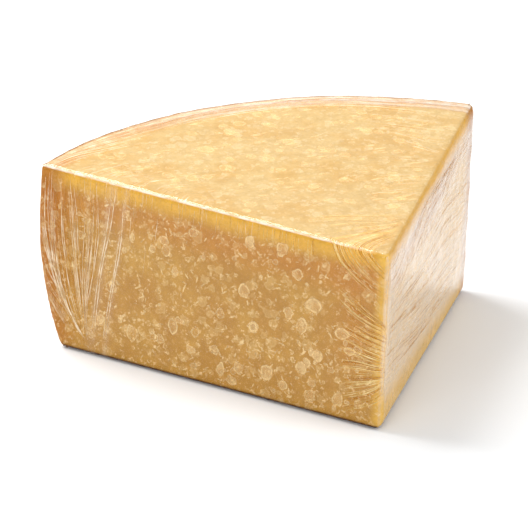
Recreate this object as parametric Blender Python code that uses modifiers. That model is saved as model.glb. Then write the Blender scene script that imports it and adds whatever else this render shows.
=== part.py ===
# Wedge of hard grating cheese, cut from a wheel that was split level, tight in clear film.
# Metres, +Z up. The tip points to -Y and the rind to +Y, and the origin is in the middle of the base.

import math

import bmesh
import bpy
from mathutils import Vector, noise

COLLECTION_NAME = "wrapped_cheese_wedge"
NODE_NAME = "wrapped_cheese"

# Driving dimensions
WHEEL_RADIUS = 0.2104
WEDGE_ANGLE = math.radians(75)
TIP_HEIGHT = 0.0972
TOP_SLOPE_TO_RIND = 0.057
TOP_SLOPE_TO_RIGHT = 0.033
TOP_CROWN = 0.0010
RIGHT_CUT_LEAN = 0.0016

# The rind bulges most at this share of the height, and draws in to these shares of the radius.
# At the base it draws in more at the left cut than at the right one.
BULGE_HEIGHT_SHARE = 0.64
BASE_RADIUS_SHARE_LEFT = 0.932
BASE_RADIUS_SHARE_RIGHT = 0.972
TOP_RADIUS_SHARE = 0.997

# Setback of each rounded edge
TIP_EDGE = 0.0050
TOP_EDGE = 0.0030
BASE_EDGE = 0.0036
LEFT_RIND_EDGE = 0.0024
RIGHT_RIND_EDGE = 0.0042
EDGE_SEGMENTS = 3

# Spacing of the mesh. The slices of a cut face start this many setbacks in from a rounded edge.
LEVELS_START = 1.4
ALONG_START = 1.1
FACE_REACH = 0.8
RIND_STOP = 0.0062
WHEEL_SEGMENTS = 264
LEVEL_STEP = 0.0062
FACE_STEP = 0.0064
TIP_ZONE = 0.034
TIP_ZONE_STEP = 0.0034
RIND_ZONE = 0.046
RIND_ZONE_STEP = 0.0026
TOP_STEP = 0.0066
BASE_STEP = 0.020

# Relief of the paste and of the film pulled over it
SWELL_SIZE = 0.045
SWELL_HEIGHT = 0.0007
GRAIN_SIZE = 0.011
GRAIN_HEIGHT = 0.00022
BASE_FADE = 0.008
PLEAT_ZONE = 0.040
PLEAT_SPACING = 0.0082
PLEAT_HEIGHT = 0.00065
PLEAT_PINCH = 0.45
PLEAT_STRAY = 0.3
TIP_FOLD_ZONE = 0.042
TIP_FOLD_SPACING = 0.0105
TIP_FOLD_HEIGHT = 0.00045
TIP_FOLD_FALL = 0.75
TIP_FOLD_STRAY = 0.5
DRAPE_SPACING = 0.0125
DRAPE_HEIGHT = 0.00030
DRAPE_ALONG = 0.80
DRAPE_UP = 0.62
DRAPE_STRAY = 0.6
RIND_GATHER_SPACING = 0.0165
RIND_GATHER_HEIGHT = 0.00045
RIND_GATHER_STRAY = 0.8
STRAY_SIZE = 0.042
RIDGE_SHARPNESS = 6
FOLD_FADE_START = 0.4

HALF_ANGLE = WEDGE_ANGLE / 2
LEFT_ALONG = Vector((-math.sin(HALF_ANGLE), math.cos(HALF_ANGLE), 0))
RIGHT_ALONG = Vector((math.sin(HALF_ANGLE), math.cos(HALF_ANGLE), 0))
LEFT_OUT = Vector((-math.cos(HALF_ANGLE), -math.sin(HALF_ANGLE), 0))
RIGHT_OUT = Vector((math.cos(HALF_ANGLE), -math.sin(HALF_ANGLE), 0))
UP = Vector((0, 0, 1))
ON_PLANE = 0.0002
SHARP_EDGE = math.radians(30)


def clear_scene():
    for old in list(bpy.data.objects):
        bpy.data.objects.remove(old, do_unlink=True)


def smooth_step(low, high, value):
    share = min(1, max(0, (value - low) / (high - low)))
    return share * share * (3 - 2 * share)


def steps_between(start, stop, step):
    count = max(1, round((stop - start) / step))
    return [start + (stop - start) * i / count for i in range(count + 1)]


def rind_share(height_share, turn):
    """Share of the wheel's radius at a share of its height, turned this far round from straight back."""
    if height_share < BULGE_HEIGHT_SHARE:
        below = (BULGE_HEIGHT_SHARE - height_share) / BULGE_HEIGHT_SHARE
        to_right = smooth_step(-HALF_ANGLE, HALF_ANGLE, turn)
        base_share = BASE_RADIUS_SHARE_LEFT
        base_share += (BASE_RADIUS_SHARE_RIGHT - BASE_RADIUS_SHARE_LEFT) * to_right
        return 1 - (1 - base_share) * below * below
    above = (height_share - BULGE_HEIGHT_SHARE) / (1 - BULGE_HEIGHT_SHARE)
    return 1 - (1 - TOP_RADIUS_SHARE) * above * above


def rising_levels():
    return steps_between(BASE_EDGE * LEVELS_START, TIP_HEIGHT - TOP_EDGE * LEVELS_START, LEVEL_STEP)


def whole_wheel():
    """The level half wheel: a cylinder sliced into rings, each ring scaled to the bulging rind."""
    bm = bmesh.new()
    bmesh.ops.create_cone(
        bm, cap_ends=True, segments=WHEEL_SEGMENTS,
        radius1=WHEEL_RADIUS, radius2=WHEEL_RADIUS, depth=TIP_HEIGHT,
    )
    bmesh.ops.translate(bm, vec=UP * TIP_HEIGHT / 2, verts=bm.verts)
    for level in rising_levels():
        slice_faces(bm, list(bm.faces), UP, level)
    for vert in bm.verts:
        share = rind_share(vert.co.z / TIP_HEIGHT, math.atan2(vert.co.x, vert.co.y))
        vert.co.x *= share
        vert.co.y *= share
    return bm


def slice_faces(bm, faces, direction, distance, drop_outside=False):
    """Cuts only these faces, and their edges, along one plane."""
    edges = {edge for face in faces for edge in face.edges}
    verts = {vert for face in faces for vert in face.verts}
    bmesh.ops.bisect_plane(
        bm, geom=[*verts, *edges, *faces], dist=1e-6,
        plane_co=direction * distance, plane_no=direction, clear_outer=drop_outside,
    )


def cut_wedge(bm):
    """Both knife cuts meet on the wheel's axis. Each opens the mesh, and its hole is filled."""
    for outward in (LEFT_OUT, RIGHT_OUT):
        slice_faces(bm, list(bm.faces), outward, 0, drop_outside=True)
        rim = [edge for edge in bm.edges if edge.is_boundary]
        bmesh.ops.edgenet_fill(bm, edges=rim)
    bmesh.ops.remove_doubles(bm, verts=bm.verts, dist=1e-6)
    bmesh.ops.recalc_face_normals(bm, faces=bm.faces)


def edge_setback(edge):
    """How far back each sharp edge is rounded, or 0 for an edge that stays."""
    if len(edge.link_faces) != 2 or edge.calc_face_angle() < SHARP_EDGE:
        return 0
    ends = [vert.co for vert in edge.verts]
    if all(co.z < ON_PLANE for co in ends):
        return BASE_EDGE
    if all(co.z > TIP_HEIGHT - ON_PLANE for co in ends):
        return TOP_EDGE
    if all(co.xy.length < ON_PLANE for co in ends):
        return TIP_EDGE
    return LEFT_RIND_EDGE if ends[0].x < 0 else RIGHT_RIND_EDGE


def round_edges(bm):
    """A Bevel modifier by edge weight, so that the edges meet in clean corners."""
    layer = bm.edges.layers.float.new("bevel_weight_edge")
    for edge in bm.edges:
        edge[layer] = edge_setback(edge) / TIP_EDGE
    mesh = bpy.data.meshes.new("rounding")
    bm.to_mesh(mesh)
    bm.free()
    helper = bpy.data.objects.new("rounding", mesh)
    bpy.context.scene.collection.objects.link(helper)
    bevel = helper.modifiers.new("Rounded edges", "BEVEL")
    bevel.limit_method = "WEIGHT"
    bevel.width = TIP_EDGE
    bevel.segments = EDGE_SEGMENTS
    bevel.use_clamp_overlap = False
    evaluated = helper.evaluated_get(bpy.context.evaluated_depsgraph_get())
    rounded = bmesh.new()
    rounded.from_mesh(evaluated.to_mesh())
    bpy.data.objects.remove(helper, do_unlink=True)
    bmesh.ops.remove_doubles(rounded, verts=rounded.verts, dist=1e-5)
    return rounded


def refine_faces(bm):
    """Slices the flat faces finely enough to carry the relief, closest where the film gathers."""
    near = FACE_REACH * TIP_EDGE
    along_steps = (
        steps_between(TIP_EDGE * ALONG_START, TIP_ZONE, TIP_ZONE_STEP)
        + steps_between(TIP_ZONE, WHEEL_RADIUS - RIND_ZONE, FACE_STEP)[1:]
        + steps_between(WHEEL_RADIUS - RIND_ZONE, WHEEL_RADIUS - RIND_STOP, RIND_ZONE_STEP)[1:]
    )
    for outward, along in ((LEFT_OUT, LEFT_ALONG), (RIGHT_OUT, RIGHT_ALONG)):
        cuts = [(UP, level) for level in rising_levels()]
        cuts += [(along, distance) for distance in along_steps]
        for direction, distance in cuts:
            faces = [f for f in bm.faces if f.calc_center_median().dot(outward) > -near]
            slice_faces(bm, faces, direction, distance)
    side = WHEEL_RADIUS * math.sin(HALF_ANGLE)
    for is_top, step in ((True, TOP_STEP), (False, BASE_STEP)):
        for direction, start, stop in (
            (Vector((1, 0, 0)), -side + step / 2, side - step / 2),
            (Vector((0, 1, 0)), step, WHEEL_RADIUS - step / 2),
        ):
            for distance in steps_between(start, stop, step):
                level = [f for f in bm.faces if abs(f.normal.z) > 0.999 and (f.normal.z > 0) == is_top]
                slice_faces(bm, level, direction, distance)


def slope_top(bm):
    """The cuts weren't quite true. The top rises from the tip to the rind and to the right, with a
    low crown towards the middle of the rind, and the right cut leans out a little at its foot."""
    side = WHEEL_RADIUS * math.sin(HALF_ANGLE)
    for vert in bm.verts:
        co = vert.co
        height_share = co.z / TIP_HEIGHT
        out_share = min(1, co.xy.length / WHEEL_RADIUS)
        turn_share = min(1, abs(math.atan2(co.x, co.y)) / HALF_ANGLE) if out_share > 0 else 0
        rise = TOP_SLOPE_TO_RIND * co.y + TOP_SLOPE_TO_RIGHT * co.x
        rise += TOP_CROWN * out_share * out_share * (1 - turn_share ** 4)
        co.z += rise * height_share
        co.x += RIGHT_CUT_LEAN * max(0, co.x) / side * (1 - height_share)


def ridge(phase):
    """Narrow rounded ridges with wide hollows between, from 0 to 1, one to each turn of the phase."""
    return math.exp(-RIDGE_SHARPNESS * math.sin(math.pi * phase) ** 2)


def stray(co):
    """Slow drift from -1 to 1 that keeps folds from running parallel."""
    return noise.noise(co / STRAY_SIZE)


def left_pleats(co):
    """Upright pleats on the left cut face beside the rind, which draw together towards the base."""
    from_rind = WHEEL_RADIUS * rind_share(co.z / TIP_HEIGHT, -HALF_ANGLE) - co.dot(LEFT_ALONG)
    spread = PLEAT_PINCH + (1 - PLEAT_PINCH) * smooth_step(0, TIP_HEIGHT, co.z)
    phase = from_rind / (PLEAT_SPACING * spread) + PLEAT_STRAY * stray(co)
    strength = 1 - smooth_step(PLEAT_ZONE * FOLD_FADE_START, PLEAT_ZONE, from_rind)
    return PLEAT_HEIGHT * strength * ridge(phase)


def tip_folds(co, along):
    """Folds that start under the top at the tip and sweep down across the cut face."""
    from_tip = co.dot(along)
    phase = (from_tip * TIP_FOLD_FALL + co.z) / TIP_FOLD_SPACING + TIP_FOLD_STRAY * stray(co)
    strength = 1 - smooth_step(TIP_FOLD_ZONE * FOLD_FADE_START, TIP_FOLD_ZONE, from_tip)
    return TIP_FOLD_HEIGHT * strength * ridge(phase)


def right_drape(co):
    """Slanting folds of the film all over the right cut face."""
    from_tip = co.dot(RIGHT_ALONG)
    phase = (from_tip * DRAPE_ALONG - co.z * DRAPE_UP) / DRAPE_SPACING + DRAPE_STRAY * stray(co)
    return DRAPE_HEIGHT * smooth_step(TIP_EDGE, TIP_FOLD_ZONE, from_tip) * ridge(phase)


def rind_gathers(co):
    """Shallow upright gathers where the film turns round the rind."""
    turn = math.atan2(co.x, co.y) * WHEEL_RADIUS
    phase = turn / RIND_GATHER_SPACING + RIND_GATHER_STRAY * stray(co)
    return RIND_GATHER_HEIGHT * ridge(phase)


def relief(co, normal):
    """Outward push of one point of the surface."""
    swell = SWELL_HEIGHT * noise.noise(co / SWELL_SIZE)
    grain = GRAIN_HEIGHT * noise.noise(co / GRAIN_SIZE + Vector((7, 3, 5)))
    on_left = max(0, normal.dot(LEFT_OUT))
    on_right = max(0, normal.dot(RIGHT_OUT))
    on_rind = max(0, normal.dot(Vector((co.x, co.y, 0)).normalized()))
    folds = on_left * (left_pleats(co) + tip_folds(co, LEFT_ALONG))
    folds += on_right * (right_drape(co) + tip_folds(co, RIGHT_ALONG))
    folds += on_rind * rind_gathers(co)
    return (swell + grain + folds) * smooth_step(0, BASE_FADE, co.z)


def add_relief(bm):
    bm.normal_update()
    pushes = [vert.normal * relief(vert.co, vert.normal) for vert in bm.verts]
    for vert, push in zip(bm.verts, pushes):
        if vert.co.z > ON_PLANE:
            vert.co += push


def centre_on_base(bm):
    """Puts the origin under the middle of the body's box, on the base."""
    xs = [vert.co.x for vert in bm.verts]
    ys = [vert.co.y for vert in bm.verts]
    zs = [vert.co.z for vert in bm.verts]
    middle = Vector(((min(xs) + max(xs)) / 2, (min(ys) + max(ys)) / 2, min(zs)))
    bmesh.ops.translate(bm, vec=-middle, verts=bm.verts)


def film_wrapped_paste():
    """Golden paste seen through clear film, as one surface."""
    material = bpy.data.materials.new("film_wrapped_paste")
    material.use_nodes = True
    shader = material.node_tree.nodes["Principled BSDF"]
    shader.inputs["Base Color"].default_value = (0.72, 0.44, 0.16, 1)
    shader.inputs["Roughness"].default_value = 0.32
    shader.inputs["Metallic"].default_value = 0
    material.diffuse_color = (0.72, 0.44, 0.16, 1)
    return material


def wrapped_cheese():
    bm = whole_wheel()
    cut_wedge(bm)
    bm = round_edges(bm)
    refine_faces(bm)
    slope_top(bm)
    add_relief(bm)
    centre_on_base(bm)
    bmesh.ops.triangulate(bm, faces=bm.faces)
    bmesh.ops.recalc_face_normals(bm, faces=bm.faces)
    mesh = bpy.data.meshes.new(NODE_NAME)
    bm.to_mesh(mesh)
    bm.free()
    mesh.shade_smooth()
    mesh.set_sharp_from_angle(angle=math.radians(50))
    mesh.materials.append(film_wrapped_paste())
    return bpy.data.objects.new(NODE_NAME, mesh)


def main():
    clear_scene()
    collection = bpy.data.collections.new(COLLECTION_NAME)
    bpy.context.scene.collection.children.link(collection)
    collection.objects.link(wrapped_cheese())


main()
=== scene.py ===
import math
import random

import bmesh
import bpy
from mathutils import Matrix, Vector, noise
from mathutils.bvhtree import BVHTree
from mathutils.kdtree import KDTree


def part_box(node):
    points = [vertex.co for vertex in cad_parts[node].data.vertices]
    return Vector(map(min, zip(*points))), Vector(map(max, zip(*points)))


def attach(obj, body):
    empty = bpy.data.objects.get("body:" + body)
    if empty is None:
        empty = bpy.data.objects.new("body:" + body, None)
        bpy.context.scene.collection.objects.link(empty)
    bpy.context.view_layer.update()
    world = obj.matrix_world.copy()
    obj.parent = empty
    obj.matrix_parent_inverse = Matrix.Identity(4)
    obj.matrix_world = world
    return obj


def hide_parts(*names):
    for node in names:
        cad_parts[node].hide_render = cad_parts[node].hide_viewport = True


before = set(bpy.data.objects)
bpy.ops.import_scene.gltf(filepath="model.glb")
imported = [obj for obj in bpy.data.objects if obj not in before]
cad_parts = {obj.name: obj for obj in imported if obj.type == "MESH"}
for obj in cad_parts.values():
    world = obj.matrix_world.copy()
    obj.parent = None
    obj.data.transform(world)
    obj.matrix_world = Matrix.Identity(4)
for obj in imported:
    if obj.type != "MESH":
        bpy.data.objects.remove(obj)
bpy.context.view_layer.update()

mm = 0.001

# Where the wedge lies. Lengths are in mm here, as in every list below.
wedge = {
    "wheelRadius": 210.4,
    "halfAngle": 37.5,
    "tipHeight": 97.2,
    "slopeToRind": 0.057,
    "slopeToRight": 0.033,
    "crown": 1.0,
    "flatBase": 1.0,
}
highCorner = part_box("wrapped_cheese")[1]
wheelAxis = Vector((0, highCorner.y - wedge["wheelRadius"] * mm, 0))
halfAngle = math.radians(wedge["halfAngle"])
leftAlong = Vector((-math.sin(halfAngle), math.cos(halfAngle), 0))
rightAlong = Vector((math.sin(halfAngle), math.cos(halfAngle), 0))
leftOut = Vector((-math.cos(halfAngle), -math.sin(halfAngle), 0))
rightOut = Vector((math.cos(halfAngle), -math.sin(halfAngle), 0))
upward = Vector((0, 0, 1))


def topHeight(x, y):
    outShare = min(1, math.hypot(x, y) / wedge["wheelRadius"])
    turnShare = min(1, abs(math.atan2(x, y)) / halfAngle)
    crown = wedge["crown"] * outShare ** 2 * (1 - turnShare ** 4)
    return wedge["tipHeight"] + wedge["slopeToRind"] * y + wedge["slopeToRight"] * x + crown


def onFace(place):
    # f and r: the left and right cut faces (along from the tip, up). t: the top (x, y).
    # p: the top (radius, degrees round the wheel). k: the rind (degrees, up). b: the base (x, y).
    face, a, b = place
    if face in "pk":
        radius = a if face == "p" else wedge["wheelRadius"]
        turn = math.radians(b if face == "p" else a)
        x, y = radius * math.sin(turn), radius * math.cos(turn)
        return wheelAxis + Vector((x, y, topHeight(x, y) if face == "p" else b)) * mm
    if face == "f":
        return wheelAxis + (leftAlong * a + upward * b) * mm
    if face == "r":
        return wheelAxis + (rightAlong * a + upward * b) * mm
    return wheelAxis + Vector((a, b, topHeight(a, b) if face == "t" else 0)) * mm


def ease(low, high, value):
    share = min(1, max(0, (value - low) / (high - low)))
    return share * share * (3 - 2 * share)


def bump(middle, reach, value):
    return math.exp(-((value - middle) / reach) ** 2)


# Shared steps for the meshes

def wedgeSkin(cuts, inset, smoothing):
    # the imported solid's own skin, merged and divided finely enough to carry folds
    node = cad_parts["wrapped_cheese"]
    bm = bmesh.new()
    bm.from_mesh(node.data)
    bm.transform(node.matrix_world)
    bmesh.ops.remove_doubles(bm, verts=bm.verts, dist=1e-6)
    bmesh.ops.join_triangles(
        bm, faces=bm.faces, angle_face_threshold=math.radians(25),
        angle_shape_threshold=math.radians(70),
    )
    bmesh.ops.subdivide_edges(bm, edges=bm.edges, cuts=cuts, use_grid_fill=True)
    for _ in range(smoothing):
        aboveBase = [vert for vert in bm.verts if vert.co.z > wedge["flatBase"] * mm]
        bmesh.ops.smooth_vert(
            bm, verts=aboveBase, factor=0.5, use_axis_x=True, use_axis_y=True, use_axis_z=True
        )
    bm.normal_update()
    outside = BVHTree.FromBMesh(bm)
    for vert in bm.verts if inset else ():
        vert.co -= vert.normal * inset * mm
        # at a sharp corner the normal can mislead, so the skin itself has the last word
        place, normal, _, _ = outside.find_nearest(vert.co)
        if (vert.co - place).dot(normal) > -0.5 * inset * mm:
            vert.co = place - normal * inset * mm
    return bm


def finishPiece(name, bm, material, isSmooth=True):
    mesh = bpy.data.meshes.new(name)
    bm.to_mesh(mesh)
    bm.free()
    if isSmooth:
        mesh.shade_smooth()
    mesh.materials.append(material)
    piece = bpy.data.objects.new(name, mesh)
    bpy.context.scene.collection.objects.link(piece)
    return piece


def paintMasks(piece, maskNames, maskAt):
    # one number per vertex for each named mask, which the materials read as attributes
    mesh = piece.data
    values = {name: [] for name in maskNames}
    for vert in mesh.vertices:
        found = maskAt(vert.co, vert.normal)
        for name in maskNames:
            values[name].append(found.get(name, 0.0))
    for name in maskNames:
        layer = mesh.attributes.new(name, "FLOAT", "POINT")
        layer.data.foreach_set("value", values[name])


def whereabouts(co, normal):
    # how far a point is from each edge of the wedge, and how much it faces each way
    local = (co - wheelAxis) / mm
    radius = math.hypot(local.x, local.y)
    return {
        "left": local.dot(leftAlong), "right": local.dot(rightAlong),
        "up": local.z, "under": topHeight(local.x, local.y) - local.z,
        "radius": radius, "degrees": math.degrees(math.atan2(local.x, local.y)),
        "y": local.y,
        "facesLeft": max(0, normal.dot(leftOut)), "facesRight": max(0, normal.dot(rightOut)),
        "facesUp": max(0, normal.z), "facesDown": max(0, -normal.z),
        "facesBack": max(0, normal.dot(Vector((local.x, local.y, 0)).normalized())),
    }


def nearRim(w):
    # the edge between top and rind, but not its two corners
    fromCut = w["radius"] * (halfAngle - math.radians(abs(w["degrees"])))
    inward = wedge["wheelRadius"] - w["radius"]
    return (1 - ease(3, 5, inward)) * (1 - ease(3, 6, w["under"])) * ease(3, 12, fromCut)


# Shared steps for the materials

def addNode(tree, kind, inputs=None, **settings):
    # kind is the name that Blender has for the node, after its ShaderNode
    node = tree.nodes.new("ShaderNode" + kind)
    for name, value in settings.items():
        setattr(node, name, value)
    for name, value in (inputs or {}).items():
        socket = node.inputs[name]
        if isinstance(value, bpy.types.NodeSocket):
            tree.links.new(value, socket)
        else:
            socket.default_value = value
    return node


def math2(tree, operation, first, second=0.0, clamp=False):
    node = addNode(tree, "Math", {0: first, 1: second}, operation=operation)
    node.use_clamp = clamp
    return node.outputs[0]


def times(tree, *factors):
    result = factors[0]
    for factor in factors[1:]:
        result = math2(tree, "MULTIPLY", result, factor)
    return result


def plus(tree, *parts, clamp=False):
    result = parts[0]
    for part in parts[1:]:
        result = math2(tree, "ADD", result, part, clamp)
    return result


def remap(tree, value, low, high, newLow=0.0, newHigh=1.0):
    node = addNode(
        tree, "MapRange",
        {"Value": value, "From Min": low, "From Max": high, "To Min": newLow, "To Max": newHigh},
        interpolation_type="SMOOTHSTEP",
    )
    return node.outputs["Result"]


def blendColor(tree, factor, first, second, blendType="MIX"):
    node = addNode(
        tree, "Mix", {0: factor, 6: first, 7: second}, data_type="RGBA",
        blend_type=blendType,
    )
    return node.outputs[2]


def oneMinus(tree, value, clamp=False):
    return math2(tree, "SUBTRACT", 1.0, value, clamp)


def noiseField(tree, place, look):
    return addNode(tree, "TexNoise", {"Vector": place, **look}).outputs["Fac"]


def bumps(tree, height, look):
    return addNode(tree, "Bump", {"Height": height, **look}).outputs[0]


def mask(tree, name):
    return addNode(tree, "Attribute", attribute_name=name).outputs["Fac"]


def photoTone(red, green, blue):
    # a tone as a screen shows it, as the linear colour that a shader takes
    def linear(level):
        share = level / 255
        return share / 12.92 if share < 0.04045 else ((share + 0.055) / 1.055) ** 2.4
    return (linear(red), linear(green), linear(blue), 1.0)


def newMaterial(name):
    material = bpy.data.materials.new(name)
    material.use_nodes = True
    tree = material.node_tree
    tree.nodes.clear()
    return material, tree, addNode(tree, "TexCoord").outputs["Object"]


def showShader(tree, shader):
    out = addNode(tree, "OutputMaterial")
    tree.links.new(shader.outputs[0], out.inputs["Surface"])


def newGroup(name, inputs, outputs):
    tree = bpy.data.node_groups.new(name, "ShaderNodeTree")
    for socketName, kind, value in inputs:
        socket = tree.interface.new_socket(socketName, in_out="INPUT", socket_type=kind)
        if value is not None:
            socket.default_value = value
    for socketName in outputs:
        tree.interface.new_socket(socketName, in_out="OUTPUT", socket_type="NodeSocketFloat")
    entry = tree.nodes.new("NodeGroupInput")
    leave = tree.nodes.new("NodeGroupOutput")
    return tree, entry.outputs, leave.inputs


def useGroup(tree, group, inputs):
    return addNode(tree, "Group", inputs, node_tree=group).outputs


floatSocket = "NodeSocketFloat"


def makeSpotField():
    # round and ragged spots cut from a 3-D field of cells, each cell with its own size
    tree, entry, leave = newGroup(
        "spotField",
        [("Vector", "NodeSocketVector", None), ("Scale", floatSocket, 100.0),
         ("Size", floatSocket, 0.4), ("Ragged", floatSocket, 0.2), ("Share", floatSocket, 0.3)],
        ["Spot", "Ring"],
    )
    wobbleScale = math2(tree, "MULTIPLY", entry["Scale"], 2.1)
    wobble = addNode(
        tree, "TexNoise",
        {"Vector": entry["Vector"], "Scale": wobbleScale, "Detail": 2.0, "Roughness": 0.6},
    )
    centred = addNode(
        tree, "VectorMath", {0: wobble.outputs["Color"], 1: (0.5, 0.5, 0.5)},
        operation="SUBTRACT",
    )
    reach = math2(tree, "DIVIDE", entry["Ragged"], entry["Scale"])
    pushed = addNode(
        tree, "VectorMath", {0: centred.outputs[0], "Scale": reach}, operation="SCALE"
    )
    moved = addNode(
        tree, "VectorMath", {0: entry["Vector"], 1: pushed.outputs[0]}, operation="ADD"
    )
    cells = addNode(
        tree, "TexVoronoi", {"Vector": moved.outputs[0], "Scale": entry["Scale"]},
        voronoi_dimensions="3D",
    )
    draw = addNode(tree, "SeparateColor", {"Color": cells.outputs["Color"]}).outputs[0]
    floor = oneMinus(tree, entry["Share"])
    sizeShare = addNode(
        tree, "MapRange",
        {"Value": draw, "From Min": floor, "From Max": 1.0, "To Min": 0.0, "To Max": 1.0},
    ).outputs["Result"]
    radius = times(tree, entry["Size"], sizeShare)
    safeRadius = plus(tree, radius, 0.0001)
    relative = math2(tree, "DIVIDE", cells.outputs["Distance"], safeRadius)
    spot = remap(tree, relative, 1.0, 0.86)
    hollow = remap(tree, relative, 0.55, 0.85)
    tree.links.new(spot, leave["Spot"])
    tree.links.new(times(tree, spot, hollow), leave["Ring"])
    return tree


def makeStreakField():
    # thin lines that run with the folds: Across counts them, Along stretches them
    tree, entry, leave = newGroup(
        "streakField",
        [("Across", floatSocket, 0.0), ("Along", floatSocket, 0.0), ("Density", floatSocket, 0.5),
         ("Stretch", floatSocket, 0.03), ("Sharpness", floatSocket, 0.8)],
        ["Line", "Swell"],
    )
    place = addNode(
        tree, "CombineXYZ",
        {"X": times(tree, entry["Across"], entry["Density"]),
         "Y": times(tree, entry["Along"], entry["Stretch"])},
    )
    field = addNode(
        tree, "TexNoise",
        {"Vector": place.outputs[0], "Scale": 1.0, "Detail": 2.5, "Roughness": 0.55},
        noise_dimensions="2D",
    ).outputs["Fac"]
    offMiddle = math2(tree, "ABSOLUTE", plus(tree, field, -0.5))
    ridge = oneMinus(tree, times(tree, offMiddle, 6.0), clamp=True)
    tree.links.new(remap(tree, ridge, entry["Sharpness"], 1.0), leave["Line"])
    tree.links.new(field, leave["Swell"])
    return tree


def makeGrainField():
    # fine crumbly grain of the paste at two sizes
    tree, entry, leave = newGroup(
        "grainField",
        [("Vector", "NodeSocketVector", None), ("Scale", floatSocket, 500.0),
         ("Coarse Share", floatSocket, 0.4)],
        ["Grain"],
    )
    place = entry["Vector"]
    fine = noiseField(tree, place, {"Scale": entry["Scale"], "Detail": 4.0, "Roughness": 0.65})
    coarseScale = times(tree, entry["Scale"], 0.28)
    coarse = noiseField(tree, place, {"Scale": coarseScale, "Detail": 3.0, "Roughness": 0.5})
    fineShare = oneMinus(tree, entry["Coarse Share"])
    total = plus(tree, times(tree, fine, fineShare), times(tree, coarse, entry["Coarse Share"]))
    tree.links.new(total, leave["Grain"])
    return tree


spotField = makeSpotField()
streakField = makeStreakField()
grainField = makeGrainField()
print("shared node groups made")

# The cheese under the film
cheese = {
    "inset": 0.45,
    "cuts": 2,
    "smoothing": 1,
    "crumb": 0.10,
    "crumbSize": 2.6,
    "paste": photoTone(188, 141, 58),
    "pasteDark": photoTone(178, 128, 47),
    # the right cut face's paste in a lighter tone: painted light on the dimly lit face
    "rightPastePaintedLight": photoTone(220, 178, 96),
    # the top's paste in paler, whiter tones than the cut faces: painted light and sheen of the
    # brightly lit top, with deeper patches of painted shade
    "topCreamPaintedLight": photoTone(213, 179, 116),
    "topCreamPaintedShade": photoTone(209, 168, 97),
    # each zone's tone and strength, laid over the paste in this order; the glow band and the tip glow
    # are painted light
    "zones": {
        "amberBand": (photoTone(186, 122, 38), 0.85),
        # a yellow band along the top edge of the cut faces: painted glow of light shining through the
        # paste
        "paintedGlowBand": (photoTone(222, 168, 54), 0.9),
        "rindEnd": (photoTone(168, 98, 18), 0.8),
        "rimOnTop": (photoTone(206, 148, 88), 0.7),
        "onRind": (photoTone(182, 128, 58), 1.0),
        "rimEdge": (photoTone(132, 82, 30), 0.9),
        # bright yellow along the apex edge: painted glow of light through the thin tip
        "paintedTipGlow": (photoTone(234, 186, 76), 0.85),
    },
    # how far from its edge a zone starts to fade or rise, and where that ends, in mm
    "glowBandReach": (4.5, 13.0),
    "amberStart": (6.0, 14.0),
    "amberEnd": (15, 34),
    "tipGlowReach": (2.0, 9.0),
    "rindReach": (6, 26),
    "rimReach": (9, 18),
    "lowReach": (12, 62),
    "drift": 3.0,
    "driftSize": 22,
    # painted shade of the rounded base edge and the contact shadow under it
    "foot": photoTone(96, 54, 14),
    "footHeights": (1.2, 3.4),
    "pale": photoTone(222, 188, 128),
    "bright": photoTone(238, 210, 160),
    # pale spots on the top in a lighter tone: painted light
    "topPalePaintedLight": photoTone(240, 214, 166),
    "cloud": {"Scale": 42.0, "Detail": 4.0, "Roughness": 0.6},
    "gate": {"Scale": 330.0, "Detail": 1.0},
    "grain": {"Scale": 620.0, "Coarse Share": 0.45},
    "ghosts": {"Scale": 150.0, "Size": 0.58, "Ragged": 0.7, "Share": 0.6},
    "flakes": {"Scale": 320.0, "Size": 0.64, "Ragged": 1.1, "Share": 0.75},
    "specks": {"Scale": 620.0, "Size": 0.62, "Ragged": 1.4, "Share": 0.45},
    # darkest and lightest that the grain makes red, green and blue
    "grainTones": {"Red": (0.88, 1.07), "Green": (0.85, 1.07), "Blue": (0.76, 1.08)},
    "relief": {"Strength": 0.35, "Distance": 0.0006},
    "roughness": 0.6,
    "sheenLevel": 0.15,
}


def cheeseMasks(co, normal):
    # where each zone of the paste lies, painted glow and painted shade among them, with edges that
    # drift as they do in a real one
    w = whereabouts(co, normal)
    along = w["left"] if w["facesLeft"] > w["facesRight"] else w["right"]
    onCut = ease(0.35, 0.75, max(w["facesLeft"], w["facesRight"]))
    drift = cheese["drift"] * noise.noise(co / (cheese["driftSize"] * mm))
    under = w["under"]
    fromRind = wedge["wheelRadius"] - w["radius"]
    streak = 1.6 * noise.noise(Vector((along / 2.2, w["up"] / 30, 3)))
    glowBand = onCut * (1 - ease(*cheese["glowBandReach"], under + 0.5 * drift + streak))
    amber = onCut * ease(*cheese["amberStart"], under + 0.5 * drift)
    amber *= 1 - ease(*cheese["amberEnd"], under + drift)
    amber *= 0.8 + 0.4 * noise.noise(co / (30 * mm) + Vector((4, 1, 9)))
    amber += 0.6 * onCut * bump(17, 12, w["left"]) * w["facesLeft"] * ease(15, 50, w["up"])
    # painted glow along the apex edge
    tip = 1 - ease(*cheese["tipGlowReach"], w["y"] / math.cos(halfAngle) + 0.3 * drift)
    rindEnd = onCut * (1 - ease(*cheese["rindReach"], fromRind + 1.2 * drift))
    rim = ease(0.5, 0.9, w["facesUp"]) * (1 - ease(*cheese["rimReach"], fromRind + 1.3 * drift))
    low = 1 - ease(*cheese["lowReach"], w["up"])
    # the painted base shade is half as strong on the right cut face and the rind
    foot = 1 - 0.5 * ease(0, 0.6, max(w["facesRight"], w["facesBack"]))
    return {
        "paintedGlowBand": glowBand, "amberBand": min(1, max(0, amber)), "paintedTipGlow": tip,
        "rindEnd": rindEnd, "rimOnTop": rim, "onTop": ease(0.45, 0.85, w["facesUp"]),
        "onRind": ease(0.2, 0.65, w["facesBack"]), "lowShare": low, "foot": foot,
        "onRight": ease(0.5, 0.9, w["facesRight"]),
        "rimEdge": nearRim(w),
    }


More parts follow.
